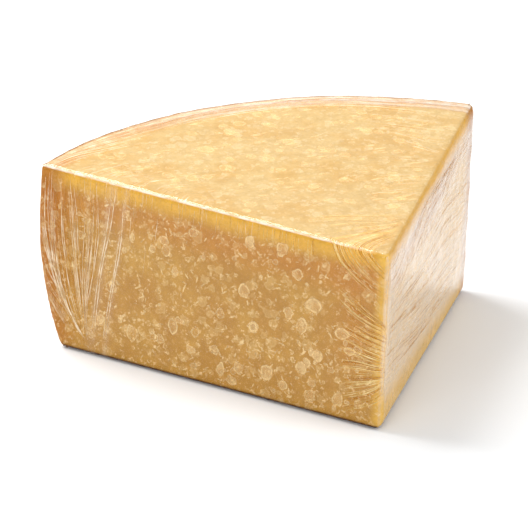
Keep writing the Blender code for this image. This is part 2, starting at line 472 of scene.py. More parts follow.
def makeCheeseMaterial():
    material, tree, objectPlace = newMaterial("agedPaste")
    here = {"Vector": objectPlace}
    grain = useGroup(tree, grainField, {**here, **cheese["grain"]})["Grain"]
    cloud = noiseField(tree, objectPlace, cheese["cloud"])
    paste = blendColor(tree, remap(tree, cloud, 0.35, 0.68), cheese["pasteDark"], cheese["paste"])
    onTop = mask(tree, "onTop")
    # the top: a paler, lit copy of the paste, with patches of painted shade
    topShadeShare = remap(tree, cloud, 0.34, 0.58)
    paintedTopTone = blendColor(tree, topShadeShare, cheese["topCreamPaintedShade"], cheese["topCreamPaintedLight"])
    # the right cut face in its lighter tone: painted light
    paste = blendColor(tree, mask(tree, "onRight"), paste, cheese["rightPastePaintedLight"])
    body = blendColor(tree, onTop, paste, paintedTopTone)
    for name, (tone, strength) in cheese["zones"].items():
        body = blendColor(tree, times(tree, mask(tree, name), strength), body, tone)
    # the painted glow band along the top edge has few crystals and the rind has none
    offRind = oneMinus(tree, mask(tree, "onRind"), clamp=True)
    calm = oneMinus(tree, times(tree, mask(tree, "paintedGlowBand"), 0.85), clamp=True)
    calm = times(tree, calm, offRind)
    ghosts = useGroup(tree, spotField, {**here, **cheese["ghosts"]})
    flakes = useGroup(tree, spotField, {**here, **cheese["flakes"]})
    specks = useGroup(tree, spotField, {**here, **cheese["specks"]})
    ghostFill = remap(tree, onTop, 0.0, 1.0, 0.22, 0.26)
    ghostShare = plus(tree, times(tree, ghosts["Spot"], ghostFill), times(tree, ghosts["Ring"], 0.16))
    # on the top the pale spots take their lighter tone: painted light
    paleHere = blendColor(tree, onTop, cheese["pale"], cheese["topPalePaintedLight"])
    body = blendColor(tree, times(tree, ghostShare, calm), body, paleHere)
    lowShare = mask(tree, "lowShare")
    gate = noiseField(tree, objectPlace, cheese["gate"])
    crescent = times(tree, flakes["Ring"], remap(tree, gate, 0.46, 0.56))
    crescentShare = times(tree, crescent, remap(tree, lowShare, 0.0, 1.0, 0.60, 0.80), calm)
    body = blendColor(tree, crescentShare, body, cheese["bright"])
    flakeShare = times(tree, flakes["Spot"], calm, remap(tree, onTop, 0.0, 1.0, 0.18, 0.20))
    body = blendColor(tree, flakeShare, body, paleHere)
    crowd = remap(tree, cloud, 0.42, 0.6, 0.25, 1.0)
    speckFill = remap(tree, lowShare, 0.0, 1.0, 0.28, 0.42)
    speckShare = times(tree, specks["Spot"], speckFill, calm, crowd)
    body = blendColor(tree, speckShare, body, cheese["bright"])
    up = addNode(tree, "SeparateXYZ", {0: objectPlace}).outputs["Z"]
    # painted shade along the base
    footLow, footHigh = cheese["footHeights"]
    nearBase = remap(tree, up, footLow * mm, footHigh * mm, 1.0, 0.0)
    body = blendColor(tree, times(tree, mask(tree, "foot"), nearBase), body, cheese["foot"])
    shading = addNode(tree, "CombineColor", {
        name: remap(tree, grain, 0.3, 0.7, *tones) for name, tones in cheese["grainTones"].items()
    })
    body = blendColor(tree, 1.0, body, shading.outputs[0], "MULTIPLY")
    height = plus(
        tree, times(tree, grain, 0.8), times(tree, flakes["Spot"], 0.5),
        times(tree, ghosts["Ring"], 0.6),
    )
    shader = addNode(
        tree, "BsdfPrincipled",
        {"Base Color": body, "Roughness": cheese["roughness"],
         "Normal": bumps(tree, height, cheese["relief"]),
         "Specular IOR Level": cheese["sheenLevel"]},
    )
    showShader(tree, shader)
    return material


def makeCheese():
    bm = wedgeSkin(cheese["cuts"], cheese["inset"], cheese["smoothing"])
    bm.normal_update()
    size = cheese["crumbSize"] * mm
    pushes = [vert.normal * noise.fractal(vert.co / size, 1.0, 2.0, 2) for vert in bm.verts]
    for vert, push in zip(bm.verts, pushes):
        if vert.co.z > wedge["flatBase"] * mm:
            vert.co += push * cheese["crumb"] * mm
    piece = finishPiece("cheese", bm, makeCheeseMaterial())
    maskNames = [*cheese["zones"], "onTop", "onRight", "lowShare", "foot"]
    paintMasks(piece, maskNames, cheeseMasks)
    return piece


cheesePiece = makeCheese()
print("cheese made")

# The pale crystals and strokes, as thin flakes on the paste; the near-level strokes on the top are
# painted glints of the film
crystalsAndGlints = {
    "seed": 11,
    # face, two places on it, width, stretch upwards, and how full the middle is
    "seen": [
        ("f", 38.6, 33.3, 7.4, 1.0, 0.85), ("f", 47.7, 24.4, 7.0, 1.1, 0.70),
        ("f", 76.3, 40.5, 6.6, 1.1, 0.35), ("f", 56.6, 53.0, 6.4, 1.1, 0.45),
        ("f", 48.7, 47.1, 7.0, 1.4, 0.40), ("f", 52.3, 75.0, 7.4, 0.9, 0.20),
        ("f", 65.4, 79.2, 3.9, 1.0, 0.25), ("f", 80.6, 86.8, 6.6, 1.1, 0.75),
        ("f", 61.6, 86.7, 8.0, 1.0, 0.60), ("f", 42.3, 60.3, 10.5, 0.8, 0.60),
        ("f", 25.0, 49.0, 8.5, 0.9, 0.60), ("f", 114.6, 84.2, 6.4, 0.9, 0.35),
        ("f", 130.6, 71.1, 6.4, 1.1, 0.30), ("f", 151.5, 73.1, 3.6, 1.7, 0.80),
        ("f", 20.0, 40.0, 7.5, 0.7, 0.60), ("f", 85.0, 15.0, 6.5, 1.2, 0.50),
        ("f", 68.0, 17.0, 8.5, 1.1, 0.45), ("f", 100.0, 22.0, 6.0, 1.0, 0.40),
        ("f", 96.0, 12.0, 5.0, 1.6, 0.55), ("f", 133.0, 20.0, 5.5, 1.2, 0.50),
        ("f", 26.0, 12.0, 6.5, 1.3, 0.50), ("f", 58.0, 12.0, 6.0, 1.0, 0.50),
        ("t", -38, 154, 9.0, 1.0, 0.55), ("t", -37, 129, 8.0, 1.0, 0.60),
        ("t", -8, 180, 7.0, 1.0, 0.50), ("t", 30, 124, 7.0, 1.0, 0.45),
        ("t", 28.5, 56, 8.0, 0.9, 0.90), ("t", 25, 132, 8.0, 1.0, 0.30),
        ("t", 66, 132, 6.5, 1.0, 0.50), ("t", 8, 150, 7.5, 1.0, 0.40),
    ],
    "strewn": {"f": 55, "t": 120, "r": 40},
    "strewnWidth": (2.2, 8.0),
    "strewnStretch": (0.7, 1.4),
    "strewnTurn": 33,  # degrees to each side on the top
    # thin strokes: how many, the shortest and longest, and how far they turn out of level; on the top
    # they lie near level as painted glints of the film's rumples
    "slivers": {"f": (560, 1.2, 4.2, 3.0), "t": (240, 3.0, 9.0, 0.35), "r": (50, 2.0, 5.0, 3.0)},
    "sliverStretch": (0.16, 0.34),
    "rimGap": 16,
    "corners": 12,
    "ragged": 0.42,
    "lift": 0.14,
    "toneDeep": photoTone(240, 198, 128),
    "tone": photoTone(255, 224, 162),
    "cover": 0.68,
    "grain": {"Scale": 900.0, "Coarse Share": 0.5},
    "relief": {"Strength": 0.4, "Distance": 0.0004},
    "roughness": 0.45,
}


def strewnCrystalsAndGlints(chance):
    # smaller ones scattered over the two cut faces and the top, more of them low down
    found = []
    narrowest, widest = crystalsAndGlints["strewnWidth"]
    for face, count in crystalsAndGlints["strewn"].items():
        for _ in range(count):
            width = narrowest + (widest - narrowest) * chance.random() ** 2.2
            if face == "t":
                turn = math.radians(
                    chance.uniform(-crystalsAndGlints["strewnTurn"], crystalsAndGlints["strewnTurn"])
                )
                out = wedge["wheelRadius"] * 0.9 * math.sqrt(chance.uniform(0.02, 1))
                a, b = out * math.sin(turn), out * math.cos(turn)
            else:
                a, b = chance.uniform(10, 185), 5 + 75 * chance.random() ** 1.4
            stretch, middle = chance.uniform(*crystalsAndGlints["strewnStretch"]), chance.uniform(0.1, 0.8)
            found.append((face, a, b, width, stretch, middle, 0.0))
    # the strokes; those on the top are painted glints of the film
    for face, (count, shortest, longest, spread) in crystalsAndGlints["slivers"].items():
        for _ in range(count):
            if face == "t":
                a, b = chance.uniform(-110, 110), chance.uniform(20, 200)
                fromRim = wedge["wheelRadius"] - math.hypot(a, b)
                if fromRim < crystalsAndGlints["rimGap"] or abs(math.atan2(a, b)) > 0.6:
                    continue
            else:
                a, b = chance.uniform(6, 190), 4 + 88 * chance.random() ** 1.2
            length = shortest + (longest - shortest) * chance.random() ** 1.8
            turn = chance.uniform(-0.5, 0.5) * spread
            stretch = chance.uniform(*crystalsAndGlints["sliverStretch"])
            found.append((face, a, b, length, stretch, 1.0, turn))
    return found


def makeCrystalAndGlintMaterial():
    material, tree, objectPlace = newMaterial("paleCrystalAndGlint")
    grain = useGroup(tree, grainField, {"Vector": objectPlace, **crystalsAndGlints["grain"]})["Grain"]
    tone = blendColor(tree, remap(tree, grain, 0.35, 0.65), crystalsAndGlints["toneDeep"], crystalsAndGlints["tone"])
    worn = remap(tree, grain, 0.36, 0.56, 0.55, 1.0)
    cover = times(tree, mask(tree, "crystalShare"), worn, crystalsAndGlints["cover"])
    shader = addNode(
        tree, "BsdfPrincipled",
        {"Base Color": tone, "Roughness": crystalsAndGlints["roughness"], "Alpha": cover,
         "Normal": bumps(tree, grain, crystalsAndGlints["relief"]),
         "Specular IOR Level": cheese["sheenLevel"]},
    )
    showShader(tree, shader)
    return material


def layFlake(bm, share, surface, centre, axes, phase, middle):
    # three rings from the rim inwards: clear, solid, then the middle's own fullness
    outward = surface.find_nearest(centre)[1]
    corners = crystalsAndGlints["corners"]
    rings = []
    for reach, level in ((1.0, 0.0), (0.84, 1.0), (0.6, middle)):
        ring = []
        for i in range(corners):
            angle = 2 * math.pi * i / corners
            flat = Vector((math.cos(angle), math.sin(angle), 0))
            ragged = reach * (1 + crystalsAndGlints["ragged"] * noise.noise(flat * 1.3 + phase))
            hit = surface.find_nearest(centre + (axes[0] * flat.x + axes[1] * flat.y) * ragged)
            ring.append(bm.verts.new(hit[0] + outward * crystalsAndGlints["lift"] * (0.5 + 0.5 * level) * mm))
            ring[-1][share] = level
        rings.append(ring)
    if axes[0].cross(axes[1]).dot(outward) < 0:
        for ring in rings:
            ring.reverse()
    for outer, inner in zip(rings, rings[1:]):
        for i in range(corners):
            bm.faces.new((outer[i - 1], outer[i], inner[i], inner[i - 1]))
    bm.faces.new(rings[-1])


def makeCrystalsAndGlints():
    chance = random.Random(crystalsAndGlints["seed"])
    skin = bmesh.new()
    skin.from_mesh(cheesePiece.data)
    surface = BVHTree.FromBMesh(skin)
    skin.free()
    bm = bmesh.new()
    share = bm.verts.layers.float.new("crystalShare")
    seen = [(*entry, 0.0) for entry in crystalsAndGlints["seen"]]
    directions = {
        "f": (leftAlong, upward), "r": (rightAlong, upward),
        "t": (Vector((1, 0, 0)), Vector((0, 1, 0))),
    }
    for face, a, b, width, stretch, middle, turn in seen + strewnCrystalsAndGlints(chance):
        sideways, rising = directions[face]
        longest = width / 2 * mm * (sideways * math.cos(turn) + rising * math.sin(turn))
        shortest = width / 2 * mm * stretch * (rising * math.cos(turn) - sideways * math.sin(turn))
        phase = Vector([chance.uniform(0, 90) for _ in range(3)])
        layFlake(bm, share, surface, onFace((face, a, b)), (longest, shortest), phase, middle)
    piece = finishPiece("crystalsAndGlints", bm, makeCrystalAndGlintMaterial())
    piece.visible_shadow = False  # so thin that the paste under them stays lit
    return piece


crystalAndGlintPiece = makeCrystalsAndGlints()
print("crystals made")

# The creases of the film. Each family: how many, their width in mm, the share of a guide that
# one runs, how high it folds and how far it strays in mm, and the share that are grooves
creaseFamilies = {
    "leftPleats": (60, (0.24, 0.52), (0.3, 0.95), 0.2, 1.1, 0.35),
    "lowSweeps": (18, (0.25, 0.45), (0.4, 1.0), 0.15, 0.6, 0.3),
    "broadFolds": (4, (0.55, 0.85), (0.96, 1.0), 0.45, 0.3, 0),
    "frontHairs": (20, (0.12, 0.24), (0.12, 0.45), 0.06, 0.8, 0.3),
    "cornerFan": (60, (0.3, 0.7), (0.2, 0.75), 0.18, 1.0, 0.3),
    "edgeWrinkles": (54, (0.25, 0.6), (0.2, 0.8), 0.16, 0.9, 0.2),
    "apexLoops": (46, (0.28, 0.55), (0.5, 1.0), 0.22, 0.4, 0.35),
    "tipSweeps": (120, (0.2, 0.48), (0.3, 0.9), 0.12, 0.5, 0.35),
    "rightLines": (150, (0.2, 0.6), (0.08, 0.45), 0.14, 0.9, 0.6),
    "rightTipFan": (40, (0.2, 0.5), (0.25, 0.8), 0.12, 0.5, 0.4),
    "rightFootHairs": (34, (0.2, 0.4), (0.4, 0.9), 0.1, 0.5, 0),
    "rimGloss": (30, (0.3, 0.9), (0.2, 0.7), 0.1, 0.5, 0.2),
    "topRight": (56, (0.2, 0.55), (0.2, 0.7), 0.16, 0.9, 0.15),
    "topTip": (34, (0.16, 0.36), (0.2, 0.7), 0.1, 0.7, 0.2),
    "rightStreaks": (22, (0.3, 0.7), (0.3, 0.8), 0.12, 0.7, 0.6),
    "bandHairs": (90, (0.12, 0.3), (0.25, 0.9), 0.05, 0.5, 0.35),
    "rindGathers": (90, (0.2, 0.6), (0.2, 0.85), 0.22, 1.0, 0.4),
    "underLaps": (34, (0.3, 0.7), (0.3, 0.8), 0.0, 1.2, 0),
}
# The lines that a family lies between, from one side to the other. A letter names the face of
# the places after it.
creaseGuides = {
    "leftPleats": [
        ["f", (208.5, 74), (206, 53), (200, 39), (190, 24), (184, 15), (179, 8)],
        ["f", (206, 97), (206, 77), (202, 49), (196, 30), (188, 18), (180, 8)],
        ["f", (201, 101), (200, 76), (197, 46), (192, 28), (186, 16), (179, 8)],
        ["f", (196, 101), (195, 80), (193, 60), (189, 36), (184, 20), (179, 8)],
        ["f", (191, 98), (189, 82), (187, 58), (184, 36), (181, 18), (178, 8)],
        ["f", (180, 94), (179, 76), (180, 55), (181, 36), (180, 20), (178, 8)],
        ["f", (172, 94), (172, 72), (174, 52), (177, 36), (178, 22), (177, 10)],
    ],
    "lowSweeps": [
        ["f", (209, 68), (204, 55), (199, 45), (192, 33)],
        ["f", (208, 45), (202, 32), (194, 24), (186, 14)],
        ["f", (206, 33), (200, 25), (195, 20), (190, 12)],
        ["f", (203, 26), (199, 20), (195, 14), (191, 8)],
    ],
    "broadFolds": [
        ["f", (162, 97), (164.5, 78), (170, 50), (174, 12)],
        ["f", (165, 90), (168, 68), (172.5, 42), (175.5, 12)],
        ["f", (157, 90), (158.5, 67), (163, 39), (167, 10)],
        ["f", (159, 74), (161, 58), (165, 34), (168.5, 11)],
    ],
    "frontHairs": [
        ["f", (176, 96), (176, 80), (176, 60), (177, 30)],
        ["f", (150, 96), (151, 80), (153, 60), (156, 30)],
        ["f", (128, 97), (129, 86), (130, 76), (131, 60)],
    ],
    "cornerFan": [
        ["p", (205.5, -36.5), (204.5, -28), (204, -18), (203, -6)],
        ["t", (-126, 164), (-102, 175), (-79, 182), (-45, 192)],
        ["t", (-124, 161), (-109, 168), (-90, 171), (-55, 178)],
        ["t", (-121, 158), (-108, 163), (-95, 166), (-78, 167)],
    ],
    "edgeWrinkles": [
        ["f", (189, 99), "t", (-111, 152), (-103, 154), (-86, 156)],
        ["f", (175, 99), "t", (-103, 140), (-97, 142), (-84, 146)],
        ["f", (161, 99), "t", (-94, 130), (-85, 133), (-72, 131)],
        ["f", (147, 99), "t", (-86, 119), (-79, 123), (-65, 121)],
        ["f", (128, 98), "t", (-76, 105), (-70, 108), (-58, 105)],
        ["f", (105, 97), "t", (-62, 86), (-58, 88), (-49, 85)],
    ],
    "apexLoops": [
        ["t", (25, 37), (8, 32), (-8, 30), (-19, 30), "f", (33, 97), (28, 88), (17, 79), (2, 70)],
        ["t", (23, 33), (8, 29), (-7, 27), (-16, 25), "f", (29, 96), (25, 89), (16, 82), (2, 76)],
        ["t", (18, 27), (8, 24), (-3, 20), (-9, 16), "f", (18, 96), (14, 92), (8, 87), (1, 83)],
        ["t", (12, 18), (6, 16), (1, 13), (-4, 9), "f", (9, 96), (6, 93), (3, 90), "r", (1, 87)],
    ],
    "tipSweeps": [
        ["f", (29, 79), (21, 74), (12, 68), (1, 61), "r", (6, 57)],
        ["f", (28, 70), (20, 65), (12, 61), (1, 57), "r", (6, 53)],
        ["f", (24, 58), (17, 56), (10, 54), (1, 52), "r", (6, 49)],
        ["f", (26, 48), (18, 46), (10, 44), (1, 42), "r", (6, 40)],
        ["f", (27, 40), (18, 40), (10, 39), (1, 38), "r", (6, 36)],
        ["f", (26, 33), (17, 35), (8, 35), (1, 35), "r", (6, 33)],
        ["f", (23, 24), (15, 26), (8, 28), (1, 30), "r", (6, 28)],
        ["f", (25, 12), (16, 16), (8, 20), (1, 25), "r", (6, 25)],
        ["f", (27, 4), (18, 8), (10, 12), (1, 17), "r", (6, 18)],
    ],
    "rightLines": [
        ["r", (50, 82), (62, 91), (84, 96), (110, 98), (154, 99)],
        ["r", (58, 78), (78, 88), (97, 92), (134, 94), (192, 93)],
        ["r", (40, 68), (72, 70), (92, 73), (139, 75), (205, 70)],
        ["r", (8, 63), (50, 59), (99, 58), (143, 59), (206, 53)],
        ["r", (4, 54), (35, 50), (65, 46), (123, 39), (200, 34)],
        ["r", (2, 40), (44, 34), (88, 27), (130, 24), (200, 20)],
        ["r", (1, 29), (30, 24), (60, 21), (110, 17), (190, 14)],
    ],
    "rightTipFan": [
        ["r", (1, 92), (8, 91), (20, 93), (34, 98)],
        ["r", (1, 84), (14, 81), (32, 84), (50, 93)],
        ["r", (1, 76), (18, 73), (38, 75), (58, 84)],
        ["r", (1, 66), (20, 64), (45, 65), (70, 72)],
    ],
    "rightFootHairs": [
        ["r", (4, 3), (12, 10), (22, 17)],
        ["r", (60, 3), (68, 10), (78, 16)],
        ["r", (120, 3), (128, 9), (138, 15)],
        ["r", (180, 4), (187, 9), (196, 15)],
    ],
    "rimGloss": [
        ["p", (204, -31), (204, -14), (204, 4), (204, 22), (203.5, 34)],
        ["p", (201.5, -25), (202, -8), (202, 8), (201.5, 22), (201, 34)],
        ["p", (196.5, -20), (197, -6), (197, 8), (196, 22), (192, 34)],
        ["p", (191, -14), (191.5, 0), (192, 10), (190, 22), (187, 32)],
    ],
    "topRight": [
        ["t", (114, 151), (94, 164), (71, 179), (38, 194)],
        ["t", (99, 131), (84, 143), (64, 159), (44, 173)],
        ["t", (96, 127), (88, 127), (77, 134), (60, 147)],
        ["t", (81, 107), (79, 117), (73, 130), (66, 143)],
        ["t", (76, 101), (64, 104), (52, 109), (42, 114)],
        ["t", (62, 83), (52, 83), (40, 84), (28, 86)],
        ["t", (44, 60), (34, 61), (24, 62), (14, 63)],
    ],
    "topTip": [
        ["t", (32, 45), (14, 48), (-6, 54), (-24, 58)],
        ["t", (27, 37), (12, 38), (-4, 42), (-22, 44)],
        ["t", (24, 33), (10, 32), (-2, 33), (-17, 34)],
    ],
    "rightStreaks": [
        ["r", (40, 80), (52, 86), (66, 90), (84, 94)],
        ["r", (70, 80), (84, 87), (100, 91), (122, 96)],
        ["r", (104, 80), (118, 87), (136, 93), (160, 99)],
        ["r", (140, 78), (156, 86), (176, 93), (198, 100)],
    ],
    "bandHairs": [
        ["f", (196, 103), (196, 99), (196, 94), (195, 86)],
        ["f", (120, 100), (120, 98), (120, 93), (121, 85)],
        ["f", (40, 97), (40, 95), (40, 91), (39, 84)],
    ],
    "rindGathers": [
        ["k", (turn, 94), (turn + 1.0, 74), (turn - 1.0, 38), (turn, 6)]
        for turn in (-35, -29, -22, -14, -6, 2, 10, 18, 26, 31, 35)
    ],
    "underLaps": [
        ["b", (-108, 150), (-78, 128), (-48, 104), (-20, 84)],
        ["b", (-40, 58), (-26, 74), (-12, 92), (0, 110)],
        ["b", (40, 58), (28, 76), (14, 94), (2, 112)],
        ["b", (108, 150), (80, 136), (50, 124), (20, 118)],
        ["b", (0, 192), (2, 172), (4, 150), (6, 130)],
    ],
}
crease = {
    "seed": 4,
    "step": 2.2,
    "lift": 0.04,
    "steepness": 0.2,
    # ridge tones, yellower near the tip: partly the milkier doubled film, partly painted highlight;
    # groove tones: painted shade beside the folds
    "tone": photoTone(255, 238, 206),
    "toneDeep": photoTone(246, 218, 168),
    "tipTone": photoTone(255, 236, 172),
    "tipToneDeep": photoTone(255, 216, 126),
    "grooveShadeTone": photoTone(190, 138, 74),
    "tipGrooveShade": photoTone(190, 122, 34),
    "roughness": 0.3,
    "gloss": 0.4,
    "cover": 0.72,
    "coverLow": 0.34,
    "grooveCover": 0.9,
    "slim": 0.8,
    "straySize": 26,
    "patches": {"Scale": 160.0, "Detail": 3.0},
    "finePoints": 60,
    "pointLimits": (5, 34),
    "tipLength": 75,
    "onGuides": ("broadFolds",),  # these lie on their guides, not between them
}


def throughPoints(controls, count):
    # a smooth line through the guide points
    points = [controls[0] * 2 - controls[1], *controls, controls[-1] * 2 - controls[-2]]
    line = []
    spans = len(controls) - 1
    for i in range(count):
        place = spans * i / (count - 1)
        span = min(spans - 1, int(place))
        t = place - span
        a, b, c, d = points[span:span + 4]
        line.append(0.5 * (
            2 * b + (c - a) * t + (2 * a - 5 * b + 4 * c - d) * t ** 2
            + (3 * b - a - 3 * c + d) * t ** 3
        ))
    return line


def guidePlaces(guide):
    places = []
    for item in guide:
        if isinstance(item, str):
            face = item
        else:
            places.append(onFace((face, *item)))
    return places


def creaseLines(tree):
    # every crease as (points on the film, half width at its middle, fold height, groove or not)
    chance = random.Random(crease["seed"])
    finePoints = crease["finePoints"]
    fewest, most = crease["pointLimits"]
    lines = []
    for name, (total, widths, runs, foldHeight, stray, grooves) in creaseFamilies.items():
        guides = [guidePlaces(guide) for guide in creaseGuides[name]]
        for index in range(total):
            if name in crease["onGuides"]:
                controls = guides[index % len(guides)]
            else:
                place = chance.uniform(0, len(guides) - 1)
                first = min(len(guides) - 2, int(place))
                between = place - first
                controls = [a.lerp(b, between) for a, b in zip(guides[first], guides[first + 1])]
            run = chance.uniform(*runs)
            start = chance.uniform(0, 1 - run)
            fine = throughPoints(controls, finePoints)
            first, last = int(start * (finePoints - 1)), int((start + run) * (finePoints - 1))
            fine = fine[first:max(last, first + 3) + 1]
            length = sum((b - a).length for a, b in zip(fine, fine[1:])) / mm
            count = max(fewest, min(most, round(length / crease["step"])))
            line = throughPoints(fine, count)
            phase = Vector([chance.uniform(0, 50) for _ in range(3)])
            halfWidth = crease["slim"] * chance.uniform(*widths) / 2
            points = []
            for point in line:
                where = point / (crease["straySize"] * mm) + phase
                wander = noise.noise_vector(where) * stray * mm
                hit = tree.find_nearest(point + wander)
                points.append((hit[0], hit[1]))
            isGroove = chance.random() < grooves
            lines.append((points, halfWidth, foldHeight * chance.uniform(0.4, 1.0), isGroove))
    return lines


def foldFilm(skin, lines):
    # the film stands up a little along each crease
    samples = [
        (point, fold) for points, _, fold, _ in lines for point, _ in points[1:-1] if fold > 0
    ]
    tree = KDTree(len(samples))
    for i, (point, _) in enumerate(samples):
        tree.insert(point, i)
    tree.balance()
    for vert in skin.verts:
        if vert.co.z < wedge["flatBase"] * mm:
            continue
        near = tree.find_n(vert.co, 3)
        push = max(samples[index][1] * bump(0, 1.0, distance / mm) for _, index, distance in near)
        vert.co += vert.normal * push * mm


def layCrease(bm, points, halfWidth, fold):
    # a low three-sided bar along the line, thinning out to both ends
    last = len(points) - 1
    rings = []
    for i, (point, normal) in enumerate(points):
        along = points[min(last, i + 1)][0] - points[max(0, i - 1)][0]
        side = along.cross(normal).normalized()
        width = halfWidth * math.sin(math.pi * (0.06 + 0.88 * i / last)) ** 0.7 * mm
        lift = crease["lift"] + 0.9 * fold * (1 if 0 < i < last else 0)
        if normal.z < -0.9:
            lift = -2 * halfWidth  # under the base they lie inside the film
        middle = point + normal * lift * mm
        rings.append([bm.verts.new(place) for place in (
            middle - side * width, middle + normal * width * crease["steepness"],
            middle + side * width,
        )])
    for before, after in zip(rings, rings[1:]):
        for i in range(3):
            bm.faces.new((before[i], before[i - 1], after[i - 1], after[i]))
    bm.faces.new(rings[0])
    bm.faces.new(reversed(rings[-1]))
    return [vert for ring in rings for vert in ring]


def makeCreases(lines, material):
    # pale ridges, partly the milkier doubled film and partly painted highlight, and grooves in darker
    # brown, painted shade beside the folds
    bm = bmesh.new()
    grooveLayer = bm.verts.layers.float.new("grooveShare")
    tipLayer = bm.verts.layers.float.new("nearTip")
    for points, halfWidth, fold, isGroove in lines:
        start, outward = points[0]
        fromTip = (start - wheelAxis).to_2d().length
        nearTip = float(outward.x < 0.3 and fromTip < crease["tipLength"] * mm)
        for vert in layCrease(bm, points, halfWidth, fold):
            vert[grooveLayer] = float(isGroove)
            vert[tipLayer] = nearTip
    bmesh.ops.recalc_face_normals(bm, faces=bm.faces)
    piece = finishPiece("film_creases", bm, material, False)
    piece.visible_shadow = False  # they are as clear as the film to the light
    return piece


def makeCreaseMaterial():
    material, tree, objectPlace = newMaterial("filmCrease")
    patchy = noiseField(tree, objectPlace, crease["patches"])
    groove = mask(tree, "grooveShare")
    cover = remap(tree, patchy, 0.3, 0.7, crease["coverLow"], crease["cover"])
    outside = oneMinus(tree, addNode(tree, "NewGeometry").outputs["Backfacing"])
    cover = times(tree, cover, remap(tree, groove, 0.0, 1.0, 1.0, crease["grooveCover"]), outside)
    paleShare = remap(tree, patchy, 0.35, 0.65)
    tone = blendColor(tree, paleShare, crease["toneDeep"], crease["tone"])
    tipTone = blendColor(tree, paleShare, crease["tipToneDeep"], crease["tipTone"])
    tone = blendColor(tree, mask(tree, "nearTip"), tone, tipTone)
    # groove tones: painted shade beside the folds
    grooveShadeTone = blendColor(
        tree, mask(tree, "nearTip"), crease["grooveShadeTone"], crease["tipGrooveShade"]
    )
    tone = blendColor(tree, groove, tone, grooveShadeTone)
    shader = addNode(
        tree, "BsdfPrincipled",
        {"Base Color": tone, "Roughness": crease["roughness"], "Alpha": cover,
         "Specular IOR Level": remap(tree, groove, 0.0, 1.0, crease["gloss"], 0.0)},
    )
    showShader(tree, shader)
    return material


# The film
film = {
    "cuts": 3,
    "smoothing": 2,
    "gloss": 1.0,
    "roughness": 0.10,
    "veilTone": (1.0, 0.89, 0.73, 1),
    "veilRoughness": 0.5,
    "ior": 1.42,
    "wideFolds": {"Density": 0.42, "Stretch": 0.022, "Sharpness": 0.55},
    "fineFolds": {"Density": 1.15, "Stretch": 0.035, "Sharpness": 0.5},
    "rumple": {"Scale": 120.0, "Detail": 4.0, "Roughness": 0.6},
    "ripple": {"Scale": 230.0, "Detail": 2.0},
    "relief": {"Strength": 0.4, "Distance": 0.0010},
    "swells": {"wide": 0.55, "fine": 0.3, "rumple": 0.12, "ripple": 0.6},
    # two broad folds on the left cut: how far out, how wide and how milky
    "broadFolds": [(170.5, 2.6, 0.14), (161.5, 1.8, 0.12)],
}


def filmMasks(co, normal):
    # on each face: which way the folds run, and how milky and how shiny the film is. The
    # distances are in mm from the edge that each one names.
    w = whereabouts(co, normal)
    faces = ("facesLeft", "facesRight", "facesUp", "facesDown", "facesBack")
    face = max(faces, key=lambda name: w[name])
    fromRind = wedge["wheelRadius"] - w["radius"]
    across, along, streaks, veil, shine = 0.0, 0.0, 0.0, 0.0, 1.0
    if face == "facesRight":
        across = w["up"] - 0.0016 * (w["up"] - 52) * w["right"]
        along = w["right"]
        streaks = ease(2, 12, w["right"]) * ease(10, 18, w["up"])
        # the milky veil on the right face: partly the haze of loose film, partly painted reflection
        # and light that lighten the dim face
        loose = ease(11, 24, w["up"] + 0.03 * w["right"]) * ease(0.5, 5, w["right"])
        veil = 0.62 * loose * ease(1, 12, w["under"]) + 0.16 * (1 - ease(4, 9, w["under"]))
        shine = (0.35 + 0.65 * loose) * (0.2 + 0.8 * ease(1, 11, w["under"]))
        shine *= 1 - 0.35 * ease(60, 180, w["right"]) * ease(20, 75, w["up"])
    elif face == "facesLeft":
        pinch = 0.45 + 0.55 * ease(0, wedge["tipHeight"], w["up"])
        across = fromRind / pinch
        along = w["up"]
        streaks = 1 - ease(30, 52, fromRind)
        veil = 0.02 * (1 - ease(36, 54, fromRind))
        shine = 0.3 + 0.7 * ease(10, 50, fromRind)
        lean = 0.13 * (50 - w["up"])
        for out, width, milk in film["broadFolds"]:
            veil += milk * bump(out + lean, width, w["left"])
    elif face == "facesUp":
        across = w["radius"] * 0.8
        along = w["degrees"] * 3.4
        streaks = (1 - ease(12, 24, fromRind)) * 0.9
        # milky bands near the rim, strongest on the right of the top: painted reflection of the
        # film's gloss lines
        veil = 0.16 * ease(4, 6, fromRind) * (1 - ease(9, 16, fromRind))
        gloss = ease(-22, -4, w["degrees"])
        veil += (1.3 * bump(8.2, 2.4, fromRind) + 0.7 * bump(14.5, 1.6, fromRind)) * gloss
    elif face == "facesBack":
        across = w["degrees"] * 3.6
        along = w["up"]
        streaks = 0.8
        veil = 0.05
        shine = 0.6
    # pulled tight over an edge, the film turns white in a thin line; the line is partly this
    # whitening and partly painted highlight, along the top front edge and, fainter, the apex edge
    overLeft = 2 * min(w["facesLeft"], w["facesUp"])
    shine *= 0.1 + 0.9 * ease(2, 6, w["up"])
    shine *= 1 - 0.95 * nearRim(w)
    edgeHighlight = 0.9 * ease(1.05, 1.4, overLeft) * ease(5, 26, w["left"])
    edgeHighlight += 0.3 * ease(0.5, 1.1, 2 * min(w["facesLeft"], w["facesRight"]))
    return {
        "acrossFolds": across, "alongFolds": along, "streakShare": streaks, "veilShare": min(1, veil),
        "edgeHighlightShare": min(1, edgeHighlight), "shineShare": shine, "rippleShare": w["facesUp"],
        "calmShare": w["facesRight"],
    }


